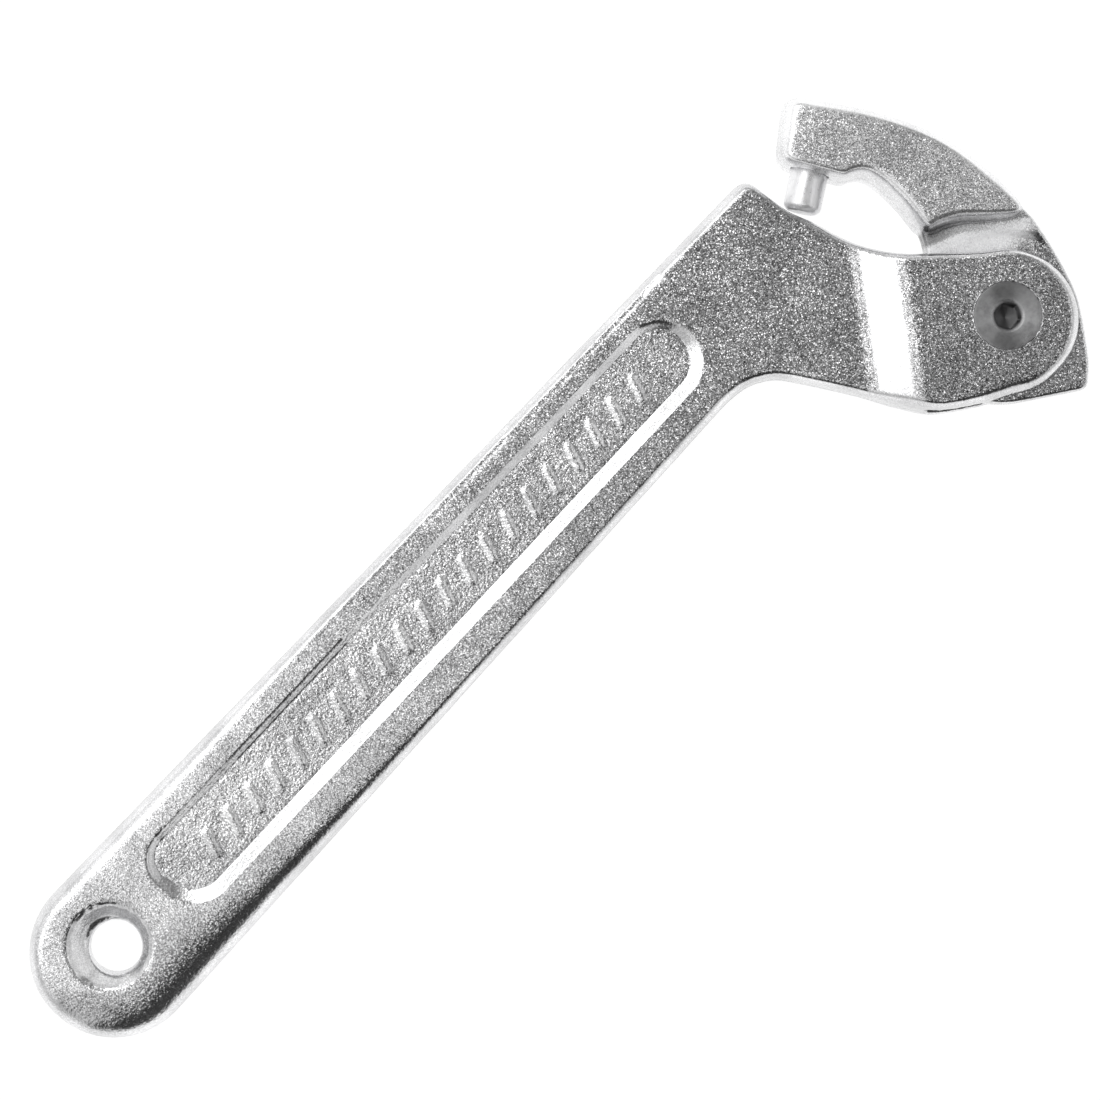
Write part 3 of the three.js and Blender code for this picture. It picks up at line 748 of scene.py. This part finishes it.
def make_screw():
    _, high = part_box("pivot_screw")
    top = high.z / MM
    tip = top - SCREW_LENGTH
    foot = top - HEAD_ROUND - (HEAD_R - SHANK_R)
    bottom = top - SOCKET_DEPTH
    dished = top - HEAD_DISH

    def hexagon(angle):
        return SOCKET_FLAT / math.cos((angle % (math.pi / 3)) - math.pi / 6)

    def lip(angle):
        return dished - (SOCKET_MOUTH - hexagon(angle)) * SOCKET_LIP_SLOPE

    inward, down, outward = MOUTH_ROUND
    mouth_start, mouth_end = (SOCKET_MOUTH - inward, dished - down), (SOCKET_MOUTH + outward, dished)
    rings = [(NEAR_AXIS, bottom - SOCKET_POINT_DEPTH), (SOCKET_POINT_R, bottom)]
    rings += [(hexagon, bottom), (hexagon, lip)]
    rings += rounded(mouth_start, (SOCKET_MOUTH, dished), mouth_end, steps=3)
    rings += [(radius, top - share * HEAD_DISH) for radius, share in DISH_RINGS]
    rings += rounded((HEAD_R - HEAD_ROUND, top), (HEAD_R, top), (HEAD_R, top - HEAD_ROUND))
    neck = (SHANK_R + HEAD_ROUND, foot + HEAD_ROUND)
    rings += rounded(neck, (SHANK_R, foot), (SHANK_R, foot - SHANK_ROUND))
    rings += [(SHANK_R, tip + SCREW_CHAMFER), (SHANK_R - SCREW_CHAMFER, tip), (NEAR_AXIS, tip)]
    points, faces = turned(rings)
    worn = []
    for x, y, z in points:
        offs = [(math.hypot(x, y) - edge) / WORN_WIDTH for edge in (HEAD_R, SOCKET_MOUTH)]
        worn.append(sum(math.exp(-(off**2)) for off in offs) if z > top - WORN_DEPTH else 0)
    return new_piece("socket_screw", points, faces, "handle_body", "black_oxide", "pivot_screw", worn=worn)


# ---------------------------------------------------------------- light, floor and camera

def make_world():
    """A white room seen in the metal.

    It is bright on the +Y side and dark on the -Y side. Overhead it grades along x, and at the head along y.
    """
    world = bpy.data.worlds.new("studio")
    bpy.context.scene.world = world
    world.use_nodes = True
    nodes = Nodes(world.node_tree)
    way = nodes.add("ShaderNodeTexCoord").outputs["Generated"]
    x, y, z = nodes.add("ShaderNodeSeparateXYZ", {0: way}).outputs
    level = nodes.curve(x, OVERHEAD_LEVELS)
    dim = nodes.product(nodes.ramp(y, *DIM_BAND[:2]), nodes.ramp(x, *DIM_FROM_X))
    across = nodes.blend(nodes.ramp(x, *HEAD_FROM_X), 1.0, nodes.ramp(y, *ACROSS_HEAD))
    level = nodes.product(level, nodes.blend(dim, 1.0, DIM_BAND[2]), across)
    right = nodes.math("SUBTRACT", x, y)
    for along, (start, full, side) in ((y, BRIGHT_SIDE), (y, DARK_SIDE), (right, RIGHT_SIDE)):
        level = nodes.blend(nodes.ramp(along, start, full), level, side)
    level = nodes.blend(nodes.ramp(z, *SIDE_CAP[:2]), level, nodes.math("MINIMUM", level, SIDE_CAP[2]))
    level = nodes.blend(nodes.ramp(z, *HORIZON[:2]), level, HORIZON[2])
    back = nodes.add("ShaderNodeBackground", {"Color": grey(1, 1), "Strength": level})
    nodes.add("ShaderNodeOutputWorld", {"Surface": back.outputs[0]})


def make_floor():
    mesh = bpy.data.meshes.new("floor")
    corners = [(x * FLOOR_REACH, y * FLOOR_REACH, 0) for x, y in ((-1, -1), (1, -1), (1, 1), (-1, 1))]
    mesh.from_pydata(corners, [], [(0, 1, 2, 3)])
    floor = bpy.data.objects.new("floor", mesh)
    floor.location.z = -FLOOR_GAP
    bpy.context.scene.collection.objects.link(floor)
    material, nodes, _ = new_material("floor_paper")
    finish_material(
        nodes, Base_Color=grey(FLOOR_GREY, 1), Roughness=FLOOR_ROUGH,
        Emission_Color=grey(1, 1), Emission_Strength=FLOOR_GLOW,
    )
    mesh.materials.append(material)


def make_lamp():
    """A large soft lamp on the +Y side, turned to the origin."""
    data = bpy.data.lights.new("key", "AREA")
    data.shape = "SQUARE"
    data.size = KEY_SIZE
    data.energy = KEY_POWER
    lamp = bpy.data.objects.new("key", data)
    way = Vector(KEY_WAY)
    lamp.location = way.normalized() * KEY_DISTANCE
    lamp.rotation_mode = "QUATERNION"
    lamp.rotation_quaternion = way.to_track_quat("Z", "Y")
    bpy.context.scene.collection.objects.link(lamp)


def make_camera():
    data = bpy.data.cameras.new("camera")
    data.sensor_width = CAMERA_SENSOR
    data.lens = CAMERA_LENS
    data.clip_start = CAMERA_CLIP
    camera = bpy.data.objects.new("camera", data)
    camera.location = (PIVOT + Vector(CAMERA_PLACE)) * MM
    camera.rotation_euler = (0, 0, math.radians(CAMERA_TURN))
    bpy.context.scene.collection.objects.link(camera)
    bpy.context.scene.camera = camera


chrome = forged_chrome()
for piece in (make_handle(), make_jaw()):
    piece.data.materials.append(chrome)
make_pin().data.materials.append(pin_steel())
make_screw().data.materials.append(black_oxide())
make_world()
make_floor()
make_lamp()
make_camera()
bpy.context.scene.view_settings.view_transform = "Standard"
